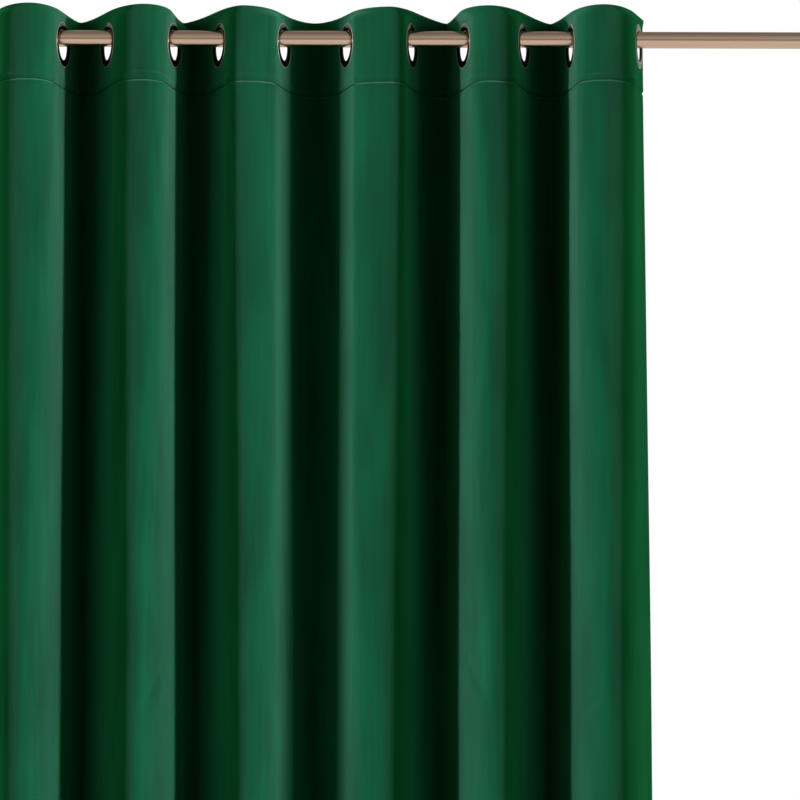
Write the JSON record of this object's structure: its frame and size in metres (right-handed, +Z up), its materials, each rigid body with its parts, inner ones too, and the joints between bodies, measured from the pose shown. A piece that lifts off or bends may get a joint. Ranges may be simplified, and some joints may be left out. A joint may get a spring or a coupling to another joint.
{
  "type": "velvet eyelet curtain with its rod",
  "caption": "Folded velvet curtain hung from metal eyelet rings on a plain round rod, with a stitched heading band.",
  "frame": {"origin": "centre of the rod's left end face, as seen from the room", "axes": "+X along the rod to its right end, +Y towards the wall behind, +Z up"},
  "size_m": [1.2, 0.119, 2.45],
  "materials": {
    "velvet": "deep green cut-pile velvet, pile brushed down",
    "ring_metal": "dark polished nickel with a light rim",
    "rod_metal": "satin warm nickel"
  },
  "bodies": {
    "root": {"curtain_panel": "velvet", "heading_band": "velvet", "eyelet_ring_01": "ring_metal", "eyelet_ring_02": "ring_metal", "eyelet_ring_03": "ring_metal", "eyelet_ring_04": "ring_metal", "eyelet_ring_05": "ring_metal", "eyelet_ring_06": "ring_metal", "eyelet_ring_07": "ring_metal", "eyelet_ring_08": "ring_metal", "eyelet_ring_09": "ring_metal", "eyelet_ring_10": "ring_metal", "eyelet_ring_11": "ring_metal", "eyelet_ring_12": "ring_metal", "curtain_rod": "rod_metal"}
  },
  "joints": []
}
